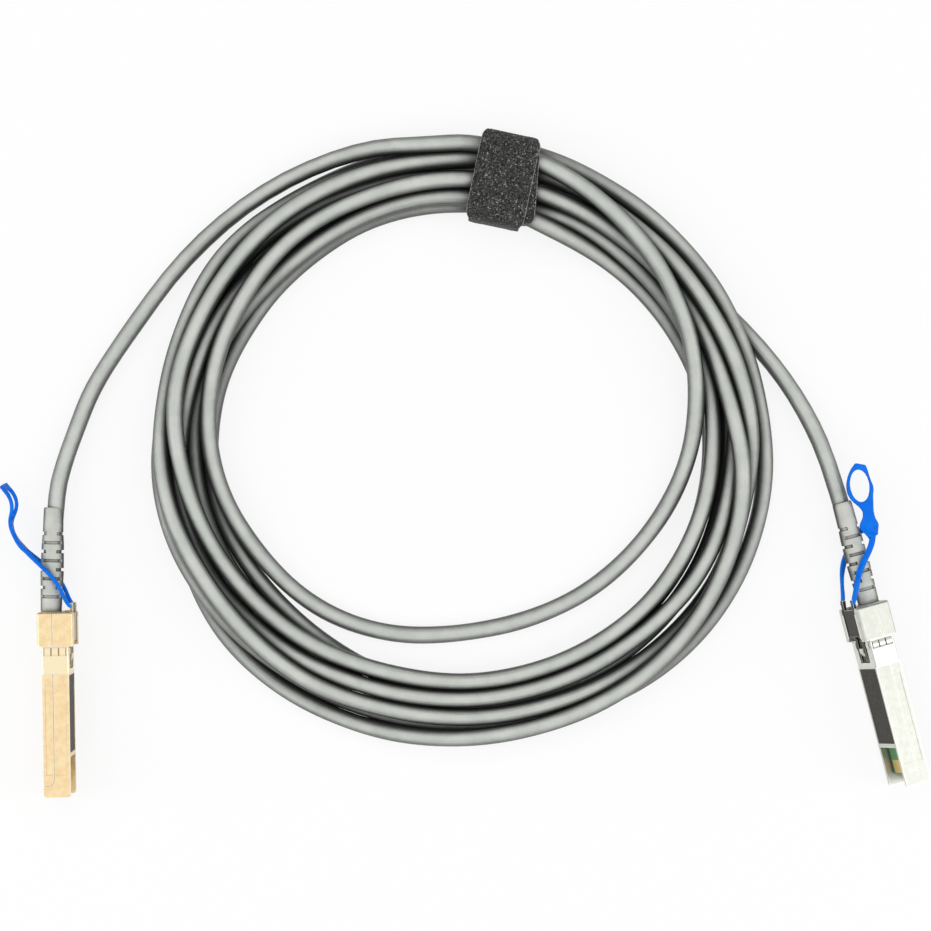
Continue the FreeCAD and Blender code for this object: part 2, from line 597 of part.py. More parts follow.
def right_tab():
    """Tab that has turned over and lies flat beside the boot, in the plug's own frame."""
    rear = -LUG_OUT + LEG_GRIP
    lower = slide_plate_levels()[0]
    out = lug_offset()
    flat, slant = V(0, -0.3, 0.95), V(0.25, -0.1, 0.96)
    near = [(V(rear, -out, lower + 0.2), V(0, -1, 0), LEG_WIDTH),
            (V(-4.0, -4.7, -4.0), V(0, -1, 0.1), LEG_WIDTH),
            (V(-7.6, -4.9, -2.3), V(0, -0.95, 0.3), LEG_WIDTH),
            (V(-10.9, -5.0, -0.4), V(0, -0.8, 0.6), LEG_WIDTH),
            (V(-14.3, -5.3, 2.4), V(0, -0.55, 0.8), LEG_WIDTH),
            (V(-17.3, -5.6, 4.9), V(0, -0.4, 0.9), LEG_WIDTH),
            (V(-20.8, -5.5, 6.7), flat, LEG_WIDTH)]
    far = [(V(rear, out, lower + 0.2), V(0, 1, 0), LEG_WIDTH),
           (V(-3.8, 4.1, -4.3), V(0, 1, 0.2), LEG_WIDTH),
           (V(-6.2, 4.5, -3.6), V(0, 0.95, 0.3), LEG_WIDTH),
           (V(-9.5, 5.2, -2.5), V(0, 0.8, 0.6), LEG_WIDTH),
           (V(-13.3, 5.7, -0.7), V(0, 0.4, 0.9), LEG_WIDTH),
           (V(-17.2, 5.7, 2.1), V(0.3, 0, 1), LEG_WIDTH),
           (V(-20.6, 4.6, 4.6), V(0.7, -0.4, 0.6), LEG_WIDTH),
           (V(-22.6, 1.6, 6.9), V(0.95, -0.3, 0.1), LEG_WIDTH),
           (V(-22.9, -1.8, 7.6), V(1, 0, 0), LEG_WIDTH),
           (V(-22.8, -5.0, 6.7), V(1, 0, 0), LEG_WIDTH)]
    strap = [(V(-20.2, -5.5, 6.6), flat, 4.0), (V(-23.0, -5.1, 6.5), flat, FORK_WIDTH),
             (V(-25.6, -5.0, 6.9), flat, 4.6), (V(-28.0, -5.0, 7.4), flat, STEM_WIDTH),
             (V(-30.3, -4.9, 7.4), flat, 4.8), (V(-32.4, -4.7, 7.1), slant, 7.0),
             (V(-35.0, -4.5, 6.9), slant, RING_WIDTH), (V(-37.4, -4.4, 7.1), slant, 8.4),
             (V(-40.0, -4.4, 7.8), slant, 6.8), (V(-42.3, -4.5, 8.8), slant, 4.6),
             (V(-43.2, -4.6, 9.2), slant, 3.4)]
    return tab_from([near, far], strap, V(-36.6, -4.4, 7.1), V(0, 0.99, 0.1), V(-1, 0, 0.15))


# ---------------------------------------------------------------- cord, coil and strap
def on_coil(angle, radius, height=0.0):
    """A place at an angle and a radius round the coil's centre."""
    a = math.radians(angle)
    return COIL_CENTRE + V(radius * math.cos(a), radius * math.sin(a), height)


def disc(radii, low, high):
    """A plate with a smooth closed outline through evenly spaced radii."""
    step = 360 / len(radii)
    curve = Part.BSplineCurve()
    curve.interpolate([on_coil(i * step, r, low) for i, r in enumerate(radii)], PeriodicFlag=True)
    return Part.Face(Part.Wire(curve.toShape())).extrude(V(0, 0, high - low))


def strap_frame(layer):
    """Places a strap's profile, drawn in radius and height, across the coil."""
    place, way = STRAP_LAYERS[layer]
    middle = sum(STRAP_INSIDE) / 2
    turn = FreeCAD.Placement(on_coil(place, middle), FreeCAD.Rotation(V(0, 0, 1), way))
    return turn.multiply(FreeCAD.Placement(V(-middle, 0, 0), FreeCAD.Rotation()))


def strap_section(grow, low, high, width=STRAP_WIDTH):
    """Solid bar under one layer of the strap, its edges rounded."""
    inner, outer = STRAP_INSIDE
    bar = block(inner - grow, outer + grow, -width / 2, width / 2, low, high)
    return bar.makeFillet(STRAP_ROUND + grow, edges_where(bar, lambda c, d: abs(d.y) > 0.9))


def cable_strap():
    """Hook-and-loop strap: one turn round the cords and a second layer over the top."""
    t, top = STRAP_THICK, COIL_HEIGHT
    outside, inside = strap_section(t, 0, top + t), strap_section(0, t, top)
    second = strap_section(2 * t, t, top + 2 * t).cut(strap_section(t, 0, top + t, 2 * STRAP_WIDTH))
    for shape, layer in ((outside, 0), (inside, 0), (second, 1)):
        shape.Placement = strap_frame(layer)
    return fused([outside.cut(inside), second])


def cable_coil():
    """Outer shape of the wound cord, with the innermost turn where it leaves the bundle."""
    ring = disc(OUTER_RADII, 0, COIL_HEIGHT).cut(disc(INNER_RADII, -1, COIL_HEIGHT + 1))
    rims = [edge for edge in ring.Edges
            if min(abs(edge.CenterOfMass.z), abs(edge.CenterOfMass.z - COIL_HEIGHT)) < 0.01]
    ring = ring.makeChamfer(COIL_EDGE, rims)
    start, middle, end = [on_coil(a, r, LOOSE_RISE) for a, r in LOOSE_TURN]
    arc = Part.Arc(start, middle, end).toShape()
    section = Part.Circle(start, arc.tangentAt(arc.FirstParameter), CORD_DIAMETER / 2).toShape()
    sweep = math.degrees(arc.LastParameter - arc.FirstParameter)
    turn = Part.Face(Part.Wire(section)).revolve(arc.Curve.Center, arc.Curve.Axis, sweep)
    return ring.fuse(turn).removeSplitter()


def tail(place, lean, route, name):
    """Free cord between a boot and the coil."""
    way = boot_direction(lean)
    root = V(0, 0, BOOT_RISE)
    inside = root + way * (BOOT_LENGTH - CORD_LENGTH_IN_BOOT)
    outside = root + way * (BOOT_LENGTH + OUT_OF_BOOT)
    points = [place.multVec(inside), place.multVec(outside)] + list(route)
    return tube(points, CORD_DIAMETER, name)


# ---------------------------------------------------------------- build
def plug_parts(tab, lean):
    """Every piece of one plug, in the plug's own frame."""
    slide = latch_slide()
    return {
        "bottom_shell": bottom_shell(),
        "top_shell": top_shell(),
        "housing_screws": housing_screws(),
        "emi_collar": emi_collar(),
        "paddle_card": paddle_card(),
        "gold_fingers": gold_fingers(),
        "memory_chip": memory_chip(),
        "wire_pairs": wire_pairs(),
        "crimp_ferrule": crimp_ferrule(),
        "boot": boot(lean),
        "latch_slide": slide,
        "return_spring": return_spring(),
        "pull_tab": tab.cut(slide),
    }


def export(name, shape):
    """Writes one node, and says how large it is."""
    state = "" if shape.isValid() else "  NOT VALID"
    print(f"{name}: {len(shape.Solids)} solid(s), {shape.Volume:.1f} mm3{state}")
    shape.exportStep(f"parts/{name}.step")


def main():
    os.makedirs("parts", exist_ok=True)
    strap = cable_strap()
    coil = cable_coil()
    room = block(STRAP_INSIDE[0] - 4, STRAP_INSIDE[1] + 4, -STRAP_WIDTH / 2, STRAP_WIDTH / 2,
                 -1, STRAP_THICK)
    room.Placement = strap_frame(0)
    coil = coil.cut(room)
    for side, spot, tab, route in (("left", LEFT_PLUG, left_tab(), LEFT_ROUTE),
                                   ("right", RIGHT_PLUG, right_tab(), RIGHT_ROUTE)):
        place = placement(*spot[:3])
        lean = spot[3]
        for name, shape in plug_parts(tab, lean).items():
            shape.Placement = place.multiply(shape.Placement)
            export(f"{side}_{name}", shape)
        cord = tail(place, lean, route, f"{side} tail").cut(coil).cut(strap)
        export(f"{side}_cable_tail", cord)
    export("cable_coil", coil)
    export("cable_strap", strap)


main()
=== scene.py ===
# %% [markdown]
# # A direct attach copper cable
#
# A cord with a metal plug on each end lies in a loose coil, tied once with a hook-and-loop
# strap. The solids of the plugs, boots and pull tabs come from the CAD model, and this lesson
# dresses them. The cord and the strap are soft, so they are built here, turn by turn.

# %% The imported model
import json
import math

import bmesh
import bpy
import numpy as np
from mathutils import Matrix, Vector

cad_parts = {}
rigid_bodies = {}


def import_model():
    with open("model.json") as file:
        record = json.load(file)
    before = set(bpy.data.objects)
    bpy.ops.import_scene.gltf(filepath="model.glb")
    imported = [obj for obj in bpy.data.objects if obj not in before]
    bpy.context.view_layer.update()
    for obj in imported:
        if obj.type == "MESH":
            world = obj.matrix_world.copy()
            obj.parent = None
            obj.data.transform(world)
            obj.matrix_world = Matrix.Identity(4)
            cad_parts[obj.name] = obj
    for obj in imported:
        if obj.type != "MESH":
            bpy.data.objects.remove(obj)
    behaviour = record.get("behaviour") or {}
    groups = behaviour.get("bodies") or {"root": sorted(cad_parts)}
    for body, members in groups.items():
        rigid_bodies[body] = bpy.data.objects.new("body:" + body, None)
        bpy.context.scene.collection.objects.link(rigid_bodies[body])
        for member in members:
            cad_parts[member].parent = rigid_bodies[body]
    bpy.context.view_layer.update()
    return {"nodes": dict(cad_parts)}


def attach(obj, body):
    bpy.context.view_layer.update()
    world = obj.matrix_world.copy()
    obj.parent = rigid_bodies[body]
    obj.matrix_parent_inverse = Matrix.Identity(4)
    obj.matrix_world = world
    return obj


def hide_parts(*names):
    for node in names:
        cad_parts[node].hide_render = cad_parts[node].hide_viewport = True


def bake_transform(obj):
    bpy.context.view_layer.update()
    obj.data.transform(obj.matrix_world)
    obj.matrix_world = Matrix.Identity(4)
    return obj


for leftover in list(bpy.data.objects):
    bpy.data.objects.remove(leftover)
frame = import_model()
MM = 0.001

# %% [markdown]
# ## Numbers that change over a surface
#
# A material's pattern is arithmetic on sockets. Wired by hand, each sum is a node. `Signal`
# wraps a socket so that ordinary Python operators add those nodes, and `Finish` is one
# material that makes any other node from its type, its settings and its inputs.


# %% Shader maths
class Signal:
    """A number in a material: + - * ** with numbers or other signals add Math nodes."""

    def __init__(self, finish, socket):
        self.finish, self.socket = finish, socket

    def _maths(self, operation, a, b):
        return self.finish.node("ShaderNodeMath", {"operation": operation}, {0: a, 1: b})

    def __add__(self, other):
        return self._maths("ADD", self, other)

    def __radd__(self, other):
        return self._maths("ADD", other, self)

    def __sub__(self, other):
        return self._maths("SUBTRACT", self, other)

    def __rsub__(self, other):
        return self._maths("SUBTRACT", other, self)

    def __mul__(self, other):
        return self._maths("MULTIPLY", self, other)

    def __rmul__(self, other):
        return self._maths("MULTIPLY", other, self)

    def __pow__(self, other):
        return self._maths("POWER", self, other)

    def maximum(self, other):
        return self._maths("MAXIMUM", self, other)

    def wave(self):
        """Sine of the number, in radians."""
        return self.finish.node("ShaderNodeMath", {"operation": "SINE"}, {0: self})

    def band(self, low, high):
        """0 below low, 1 above high, and smooth between them."""
        return self.finish.node("ShaderNodeMapRange", {"interpolation_type": "SMOOTHSTEP"},
                                {"Value": self, "From Min": low, "From Max": high})


class Finish:
    """One material, built on the Principled shader."""

    def __init__(self, name):
        self.material = bpy.data.materials.new(name)
        self.material.use_nodes = True
        self.tree = self.material.node_tree
        self.shader = self.tree.nodes["Principled BSDF"]

    def node(self, kind, settings=(), inputs=(), output=0):
        """Adds a node: its settings first, then the values or links of its sockets."""
        made = self.tree.nodes.new(kind)
        for key, value in dict(settings).items():
            setattr(made, key, value)
        self.feed(made, inputs)
        return Signal(self, made.outputs[output])

    def feed(self, node, inputs):
        """Gives sockets, found by name or number, a value, or a link from a signal."""
        for key, value in dict(inputs).items():
            if isinstance(value, Signal):
                self.tree.links.new(value.socket, node.inputs[key])
            else:
                target = node.inputs[key]
                is_colour = target.type == "RGBA" and len(value) == 3
                target.default_value = (*value, 1) if is_colour else value

    def where(self, source="Object"):
        """Texture coordinates: Object or UV."""
        return self.node("ShaderNodeTexCoord", (), (), source)

    def noise(self, scale, detail=2.0, rough=0.5, at=None):
        """Cloudy noise from 0 to 1 with features about 1 / scale metres across."""
        vector = at or self.where()
        return self.node("ShaderNodeTexNoise", {"noise_dimensions": "3D"},
                         {"Vector": vector, "Scale": scale, "Detail": detail, "Roughness": rough})

    def blend(self, factor, a, b):
        """Colour a where the factor is 0, and b where it is 1."""
        made = self.tree.nodes.new("ShaderNodeMix")
        made.data_type = "RGBA"
        self.feed(made, {0: factor, 6: a, 7: b})
        return Signal(self, made.outputs[2])

    def bump(self, height, distance, strength=1.0, under=None):
        """Relief of that depth in metres, over another relief if one is given."""
        inputs = {"Height": height, "Distance": distance, "Strength": strength}
        if under is not None:
            inputs["Normal"] = under
        return self.node("ShaderNodeBump", (), inputs)

    def surface(self, **values):
        """Feeds the Principled shader; an underscore stands for a space."""
        self.feed(self.shader, {key.replace("_", " "): v for key, v in values.items()})
        return self.material


def paint(material, *objects):
    """Puts one material on every object."""
    for o in objects:
        o.data.materials.clear()
        o.data.materials.append(material)


# %% [markdown]
# ## The camera
#
# The cable is seen from straight above, from nearly a metre away, with a long lens, so that
# the plugs at the sides are hardly turned outwards.

# %% Camera
CAMERA_AT = (0.7 * MM, -0.95 * MM, 950 * MM)
FILM_WIDTH = 36            # both in millimetres
FOCAL_LENGTH = 115.3
lens = bpy.data.cameras.new("overhead_lens")
lens.sensor_width = FILM_WIDTH
lens.lens = FOCAL_LENGTH
camera = bpy.data.objects.new("overhead_camera", lens)
camera.location = CAMERA_AT
bpy.context.scene.collection.objects.link(camera)
bpy.context.scene.camera = camera
print(f"camera: {CAMERA_AT[2] / MM:.0f} mm up, with a lens of {FOCAL_LENGTH} mm")

# %% [markdown]
# ## The cord's route
#
# Eight loops lie in the coil. They were wound by hand, so no two are the same size: they cross
# and fan out, except where the strap gathers them. Each loop is written as eighteen radii, one
# every 20 degrees clockwise from the strap, and a smooth curve through them gives the rest.

# %% The route, in millimetres
CORD_DIAMETER = 5.4
COIL_CENTRE = np.array([-0.1, 7.1])
STRAP_ANGLE = 90
LOOPS = {   # clockwise from the strap, from the left plug's end to the right plug's
    "top": (93.4, 89.0, 84.4, 80.0, 75.5, 70.3, 65.4, 62.3, 60.5,
            61.2, 65.5, 70.3, 74.1, 79.0, 81.6, 82.7, 83.6, 82.5),
    "over_outer": (82.3, 81.5, 81.8, 83.6, 86.4, 89.8, 92.3, 93.8, 93.4,
                   93.8, 95.7, 97.1, 96.0, 93.0, 89.0, 88.0, 87.5, 86.7),
    "wide": (85.6, 87.1, 85.9, 86.7, 88.3, 90.1, 92.1, 90.1, 87.7,
             87.9, 88.2, 90.6, 92.8, 95.6, 94.9, 94.4, 92.8, 91.7),
    "outermost": (91.2, 91.3, 91.9, 92.9, 94.3, 96.9, 96.8, 95.6, 92.1,
                  91.1, 90.9, 92.6, 95.2, 96.4, 94.4, 92.0, 89.0, 85.5),
    "second": (82.9, 85.1, 86.1, 87.1, 88.0, 86.4, 85.8, 82.9, 81.9,
               82.2, 83.6, 87.5, 90.9, 91.2, 87.3, 85.0, 83.2, 81.3),
    "hidden": (80.2, 80.0, 80.7, 83.2, 86.6, 85.2, 85.2, 85.0, 84.8,
               84.4, 83.9, 82.6, 83.3, 84.4, 84.1, 81.0, 77.8, 77.6),
    "inner": (77.2, 74.1, 74.6, 75.8, 78.6, 79.3, 79.4, 79.4, 79.4,
              79.4, 79.4, 79.1, 80.4, 81.8, 81.9, 78.6, 76.3, 76.1),
    "over_inner": (75.8, 77.0, 77.1, 78.4, 78.9, 79.0, 78.7, 78.0, 76.8,
                   76.8, 77.6, 81.2, 84.8, 88.5, 91.6, 91.2, 90.6, 88.8),
}
LAST_BIT = (88.6, 90.0, 90.0, 89.0)      # the end of the last loop, down to the right tail
LEFT_ROUTE = ((-126.6, -0.5, 5.4), (-122.6, 11.0, 3.9), (-117.9, 23.5, 3.0), (-108.3, 38.5, 2.7),
              (-88.5, 65.8, 2.7), (-63.1, 87.0, 3.3), (-33.3, 99.3, 7.6), (-8.9, 100.4, 10.4))
RIGHT_ROUTE = ((108.6, 16.9, 3.6), (95.1, 36.0, 2.7), (70.2, 60.6, 2.7))
BOOT_ENDS = {   # inside the boot, and a little way out of it
    "left": ((-130.2, -41.2, 7.1), (-129.2, -12.0, 7.1)),
    "right": ((126.5, -38.7, 7.9), (117.2, -4.0, 8.0)),
}


def cubic_through(values, at):
    """Smooth curve through evenly spaced values, as a Catmull-Rom spline."""
    values = np.asarray(values, float)
    padded = np.concatenate([2 * values[:1] - values[1:2], values, 2 * values[-1:] - values[-2:-1]])
    i = np.clip(np.floor(at).astype(int), 0, len(values) - 2)
    t = at - i
    a, b, c, d = (padded[i + k] for k in range(4))
    return 0.5 * (2 * b + (c - a) * t + (2 * a - 5 * b + 4 * c - d) * t ** 2
                  + (3 * (b - c) + d - a) * t ** 3)


stations = np.concatenate([*LOOPS.values(), LAST_BIT])
STATIONS_IN_TURN = 18
FINE_STEP = 0.02           # stations between points of the smooth curve
STEP = 4.0                 # millimetres between points while the cord settles


def turn_of(at):
    """Turns from the start: one turn holds a fixed number of stations."""
    return at / STATIONS_IN_TURN


fine = np.arange(0, len(stations) - 1, FINE_STEP)
radius = cubic_through(stations, fine)
angle = np.radians(STRAP_ANGLE - 360 * turn_of(fine))
flat = COIL_CENTRE + radius[:, None] * np.stack([np.cos(angle), np.sin(angle)], 1)
run = np.concatenate([[0], np.cumsum(np.linalg.norm(np.diff(flat, axis=0), axis=1))])
COIL_ENDS = len(LOOPS) + 0.11              # where the right tail's own route takes over
along = np.arange(0.4 * STEP, np.interp(COIL_ENDS, turn_of(fine), run), STEP)
loop_at = turn_of(np.interp(along, run, fine))          # 3.5 is half way round the fourth loop
target = np.stack([np.interp(along, run, flat[:, k]) for k in (0, 1)], 1)
print(f"coil: {run[-1]:.0f} mm in {len(LOOPS)} loops, {len(along)} settling points")

# %% [markdown]
# ## Letting the turns settle
#
# Cords can't share a place, so each loop lies on the ones beneath it. First every loop is laid
# in the order it was wound, each on top of what it meets. Then the whole coil settles: its own
# weight pulls it down, its stiffness straightens it, and where two turns are nearer than a
# diameter they push each other apart.

# %% Settling
LAID_ORDER = {   # from the floor up: on the way out, on the way back, and the angle between
    "top": (8, 8, 250), "over_outer": (6, 0.5, 208), "wide": (5, 3, 250),
    "outermost": (4, 2.5, 250), "second": (3, 1.5, 250), "hidden": (2, 3.5, 222),
    "inner": (1, 1, 250), "over_inner": (7, 7, 250), "last": (0, 0, 250),
}
STRAP_MIDDLE = 9 / 360                 # one loop ends and the next begins in the strap
SNUG = 0.8                 # turns nearer than this many diameters lie on each other
FLOOR_LEVEL = CORD_DIAMETER / 2 + 0.05   # and a little for the swell of the wires
STRAP_THICK = 1.2
COIL_TOP = 15.2            # under the strap, which squeezes the turns
ASIDE = 1.5                # how far the turns give way sideways
SETTLE_STEPS = 260
FALL = 0.04                # millimetres that a turn sinks in one step
LOOSEN = 0.9               # share of a sideways move that is kept
EAGER = 1.2                # how much further than needed touching turns part
PUSHES = 3                 # rounds of parting in one step
STRAP_SHARE = 0.035        # part of a turn on each side that the strap squeezes


def curve_line(points, smooth=4):
    """The line of a NURBS curve with those control points, read back from Blender."""
    curve = bpy.data.curves.new("line", "CURVE")
    curve.dimensions, curve.resolution_u = "3D", smooth
    spline = curve.splines.new("NURBS")
    spline.points.add(len(points) - 1)
    for point, place in zip(spline.points, points):
        point.co = (*place, 1)
    spline.order_u, spline.use_endpoint_u = 3, True
    holder = bpy.data.objects.new("line", curve)
    mesh = bpy.data.meshes.new_from_object(holder)
    line = np.zeros(len(mesh.vertices) * 3)
    mesh.vertices.foreach_get("co", line)
    for store, item in ((bpy.data.objects, holder), (bpy.data.curves, curve),
                        (bpy.data.meshes, mesh)):
        store.remove(item)
    return line.reshape(-1, 3)


def lay_on(flat_points, below, floor):
    """Height of each point: the floor, or high enough that its cord clears those below."""
    gap = np.linalg.norm(flat_points[:, None] - below[None, :, :2], axis=2)
    near = SNUG * CORD_DIAMETER
    top = np.where(gap < near, below[None, :, 2] + np.sqrt(np.maximum(near ** 2 - gap ** 2, 0)), 0)
    return np.maximum(floor, top.max(1))


def even_out(values, rounds, amount=0.5):
    """Each value moves towards the mean of its two neighbours."""
    for _ in range(rounds):
        values[1:-1] += amount * ((values[:-2] + values[2:]) / 2 - values[1:-1])
    return values


def settle(places, target, fixed, floor, ceiling):
    """Moves the turns apart where they touch, and down and straight where they don't."""
    count = len(places)
    everything = np.concatenate([places, fixed])
    near = np.linalg.norm(everything[:count, None, :2] - everything[None, :, :2], axis=2)
    a, b = np.nonzero(near < 2 * CORD_DIAMETER)
    apart_on_cord = np.where(b < count, b - a, count) > 5 * CORD_DIAMETER / STEP
    a, b = a[apart_on_cord], b[apart_on_cord]
    for step in range(SETTLE_STEPS):
        free = everything[:count]
        free[:, 2] -= FALL
        aside = even_out(LOOSEN * (free[:, :2] - target), 5)
        aside /= np.maximum(1, np.linalg.norm(aside, axis=1)[:, None] / ASIDE)
        free[:, :2] = target + aside
        even_out(free[:, 2], 3)
        tangent = np.gradient(free, axis=0)
        tangent /= np.linalg.norm(tangent, axis=1)[:, None]
        for _ in range(PUSHES):
            gap = everything[b] - everything[a]
            lengthwise = (gap * tangent[a]).sum(1)
            gap -= lengthwise[:, None] * tangent[a]
            size = np.linalg.norm(gap, axis=1) + 1e-9
            touching = (size < CORD_DIAMETER) & (np.abs(lengthwise) < 0.8 * STEP)
            push = gap * ((CORD_DIAMETER - size) / size * touching)[:, None]
            share = np.where(b < count, 0.5, 1.0)[:, None]
            move, hits = np.zeros_like(everything), np.full(len(everything), 1e-9)
            np.add.at(move, a, -push * share)
            np.add.at(move, b, push * share)
            np.add.at(hits, a, touching)
            np.add.at(hits, b, touching)
            everything[:count] += (EAGER * move / np.maximum(hits, 1)[:, None])[:count]
            everything[:count, 2] = np.clip(everything[:count, 2], floor, ceiling)
    return everything[:count]


left_line = curve_line(BOOT_ENDS["left"] + LEFT_ROUTE)
right_line = curve_line(BOOT_ENDS["right"] + RIGHT_ROUTE)
under_strap = np.exp(-((loop_at - np.round(loop_at) - STRAP_MIDDLE) / STRAP_SHARE) ** 4)
floor = FLOOR_LEVEL + STRAP_THICK * under_strap
ceiling = COIL_TOP - FLOOR_LEVEL + 20 * (1 - under_strap)
part = loop_at - STRAP_MIDDLE
orders = np.array(list(LAID_ORDER.values()))[np.floor(part).astype(int).clip(0)]
order = np.where(part % 1 < orders[:, 2] / 360, orders[:, 0], orders[:, 1])
places = np.column_stack([target, floor])
laid = right_line
for level in np.unique(order):
    here = order == level
    places[here, 2] = lay_on(target[here], laid, floor[here])
    laid = np.concatenate([laid, places[here]])
places[:, 2] = even_out(places[:, 2], 30)
places = settle(places, target, np.concatenate([left_line, right_line]), floor, ceiling)
moved = np.linalg.norm(places[:, :2] - target, axis=1)
print(f"settled: top of the coil at {places[:, 2].max() + CORD_DIAMETER / 2:.1f} mm, "
      f"turns moved sideways {moved.mean():.2f} mm on average and {moved.max():.1f} at most")

# %% [markdown]
# ## The cord
#
# The settled places are the control points of one NURBS curve, from inside one boot to inside
# the other. The jacket is a tube round that curve. It gets its own UV map, in metres along the
# cord and in turns round it, so that its finish follows the cord wherever that goes.

# %% The cord
TUBE_SIDES = 20
PAIR_LAY = 62.0            # one turn of the wire pairs under the jacket
PAIR_SWELL = 0.035         # how far they lift the jacket


def grid_mesh(name, points, closed_u=False, closed_v=False, caps=False, uv=None):
    """A mesh over a grid of points [row, column, xyz] in millimetres, with quads between them."""
    rows, columns = points.shape[:2]
    index = np.arange(rows * columns).reshape(rows, columns)
    if closed_u:
        index = np.concatenate([index, index[:1]])
    if closed_v:
        index = np.concatenate([index, index[:, :1]], axis=1)
    quads = np.stack([index[:-1, :-1], index[:-1, 1:], index[1:, 1:], index[1:, :-1]], -1)
    faces = quads.reshape(-1, 4).tolist()
    if caps:
        faces += [list(range(columns))[::-1], list(range((rows - 1) * columns, rows * columns))]
    mesh = bpy.data.meshes.new(name)
    mesh.from_pydata((points.reshape(-1, 3) * MM).tolist(), [], faces)
    mesh.polygons.foreach_set("use_smooth", [True] * len(faces))
    if uv is not None:
        layer = mesh.uv_layers.new(name="UVMap")
        r, c = quads.shape[:2]
        i, j = np.meshgrid(np.arange(r), np.arange(c), indexing="ij")
        corners = np.stack([np.stack([uv[0][i + a], uv[1][j + b]], -1)
                            for a, b in ((0, 0), (0, 1), (1, 1), (1, 0))], 2)
        flat_uv = np.zeros((len(mesh.loops), 2))
        flat_uv[:corners.size // 2] = corners.reshape(-1, 2)
        layer.data.foreach_set("uv", flat_uv.ravel())
    made = bpy.data.objects.new(name, mesh)
    bpy.context.scene.collection.objects.link(made)
    return made


def carried(path, radius_at, turns):
    """A round profile carried along a path: rings of radius_at(along, round) about each point."""
    tangent = np.gradient(path, axis=0)
    tangent /= np.linalg.norm(tangent, axis=1)[:, None]
    side = np.cross([0, 0, 1], tangent)
    side /= np.linalg.norm(side, axis=1)[:, None]
    up = np.cross(tangent, side)
    along = np.concatenate([[0], np.cumsum(np.linalg.norm(np.diff(path, axis=0), axis=1))])
    round_ = 2 * np.pi * turns
    r = radius_at(along[:, None], round_[None, :])[..., None]
    ring = np.cos(round_)[None, :, None] * side[:, None] + np.sin(round_)[None, :, None] * up[:, None]
    return path[:, None] + r * ring, along


controls = [*BOOT_ENDS["left"], *LEFT_ROUTE, *places[::3].tolist(),
            *RIGHT_ROUTE[::-1], *BOOT_ENDS["right"][::-1]]
centre_line = curve_line(controls, 4)
turns = np.arange(TUBE_SIDES) / TUBE_SIDES
rings, cord_along = carried(
    centre_line,
    lambda s, a: CORD_DIAMETER / 2 + PAIR_SWELL * np.cos(2 * (a - 2 * np.pi * s / PAIR_LAY)), turns)
cord = grid_mesh("cord", rings, closed_v=True, caps=True,
                 uv=(cord_along * MM, np.append(turns, 1.0)))
print(f"cord: {cord_along[-1] / 1000:.3f} m, {len(cord.data.polygons)} faces")

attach(cord, "base")
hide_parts("cable_coil", "left_cable_tail", "right_cable_tail")
cord_along[-1] * MM
(centre_line * MM).tolist()

# %% [markdown]
# ## The jacket's finish
#
# The jacket is satin vinyl. Its colour is painted light: a broad pale highlight along the top of
# each turn, with painted shade on its sides and where turns lie close. It isn't perfectly smooth.
# Extrusion leaves faint lengthwise streaks, which also break up the painted highlight, and
# handling leaves dull patches.

# %% Jacket
jacket = Finish("jacket_vinyl")
uv = jacket.where("UV")
round_it = jacket.node("ShaderNodeSeparateXYZ", (), {0: uv}, 1)
upward = (round_it * (2 * math.pi)).wave()             # 1 along the top of a turn, 0 at its sides
streaks = jacket.node("ShaderNodeTexNoise", (), {
    "Vector": jacket.node("ShaderNodeMapping", (), {"Vector": uv, "Scale": (14, 26, 1)}),
    "Scale": 1.0, "Detail": 3.0})
dull = jacket.noise(90, 3)
ripple = jacket.noise(420, 3, 0.55)
grain = jacket.noise(2600, 2)
# Painted light: the colour is pale along the top of each turn and dark on its sides, and darker again where
# turns shade each other.
open_sky = jacket.node("ShaderNodeAmbientOcclusion", {"samples": 12}, {"Distance": 0.009}, 1)
crown = upward.maximum(0.0) ** 2.3
painted_highlight = crown * (0.66 + streaks * 0.42 + ripple * 0.30) * open_sky ** 2.2
jacket.surface(
    Base_Color=jacket.blend(painted_highlight.band(-0.12, 1.05), (0.008, 0.009, 0.008),
                            jacket.blend(dull.band(0.3, 0.75), (0.575, 0.605, 0.565), (0.68, 0.705, 0.66))),
    Roughness=0.20 + dull * 0.10,
    Specular_IOR_Level=0.5,
    Normal=jacket.bump(grain, 0.00003, 0.5,
                       jacket.bump(ripple, 0.0004, 0.6, jacket.bump(streaks, 0.0003, 0.7))))
paint(jacket.material, cord)

# %% [markdown]
# ## The strap
#
# A hook-and-loop strap holds the turns together at the top of the coil. It is a woven band with
# looped pile on it: it starts low on the outer side, goes over the top, down and under the
# turns, and then over the top again, a little askew. So it is one flat profile, with rounded
# edges, carried along one and a half laps of a rounded rectangle. The pile is real relief.

# %% The strap's line
STRAP_WIDTH = 18.6
STRAP_INSIDE = (70.8, 95.2)              # radii that it runs round
STRAP_LAYERS = ((80.2, 85.3), (81.3, 78.1))   # each lap's place on the coil and direction, in degrees
STRAP_BEND = 2.0                         # inside a bend
STRAP_STEP = 0.5
STRAP_LIFT = 0.1           # above the floor, so that the pile clears it
LAYER_GAP = 1.02           # from layer to layer, in thicknesses
BAND_SIDES = 96            # points round the band's profile
SQUARENESS = 0.3           # of its rounded corners: 1 is an ellipse, 0 a rectangle
PILE_RELIEF = 0.07
BEND_TAPER = 0.13          # share of its width that a bend takes from the band


